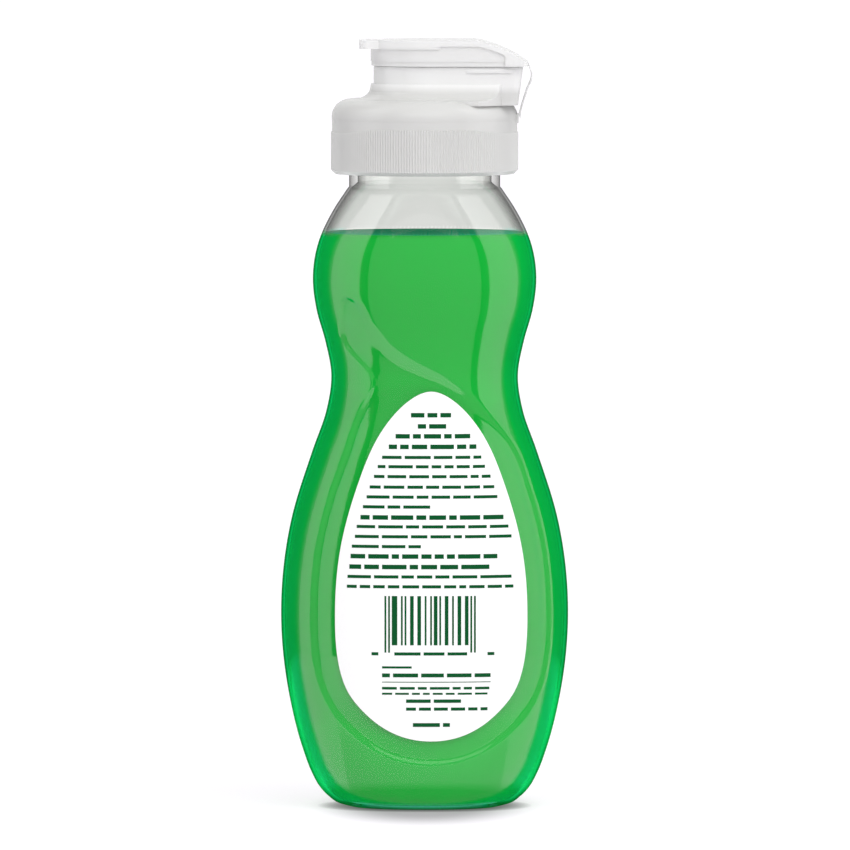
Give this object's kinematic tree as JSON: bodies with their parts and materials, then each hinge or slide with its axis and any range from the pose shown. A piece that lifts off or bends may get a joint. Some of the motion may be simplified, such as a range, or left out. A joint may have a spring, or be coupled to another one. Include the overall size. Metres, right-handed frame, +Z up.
{
  "type": "dish soap bottle",
  "caption": "Small clear squeeze bottle of green dish soap with a waisted body, egg-shaped labels and a ribbed white flip-top screw cap.",
  "frame": {"origin": "centre of the standing ring, on the surface that the bottle stands on", "axes": "+Z up along the bottle's axis, broad faces look along -Y and +Y, the lid's hinge is on +X"},
  "size_m": [0.0468, 0.0338, 0.125],
  "materials": {
    "clear_pet": "glossy clear blow-moulded PET",
    "green_soap": "clear green liquid",
    "label_film": "smooth printed film",
    "white_pp": "satin milky moulded polypropylene",
    "foam_liner": "matt foamed polyethylene"
  },
  "bodies": {
    "bottle": {"bottle_shell": "clear_pet", "dish_soap": "green_soap", "back_label": "label_film", "front_label": "label_film"},
    "washer": {"sealing_washer": "foam_liner"},
    "cap": {"closure_cap": "white_pp", "living_hinge": "white_pp"},
    "lid": {"flip_lid": "white_pp"}
  },
  "joints": [
    {"name": "cap_lift", "type": "slide", "parent": "bottle", "child": "washer", "axis": [0, 0, 1], "range_m": [0, 0.0096]},
    {"name": "cap_unscrew", "type": "hinge", "parent": "washer", "child": "cap", "pos_m": [0, 0, 0.114], "axis": [0, 0, 1], "range_deg": [0, 270]},
    {"name": "lid_flip", "type": "hinge", "parent": "cap", "child": "lid", "pos_m": [0.0166, 0, 0.1208], "axis": [0, 1, 0], "range_deg": [0, 125], "deforming": ["living_hinge"]}
  ],
  "couplings": [
    {"joint": "cap_lift", "follows": "cap_unscrew", "m_per_rad": 0.0020211}
  ]
}
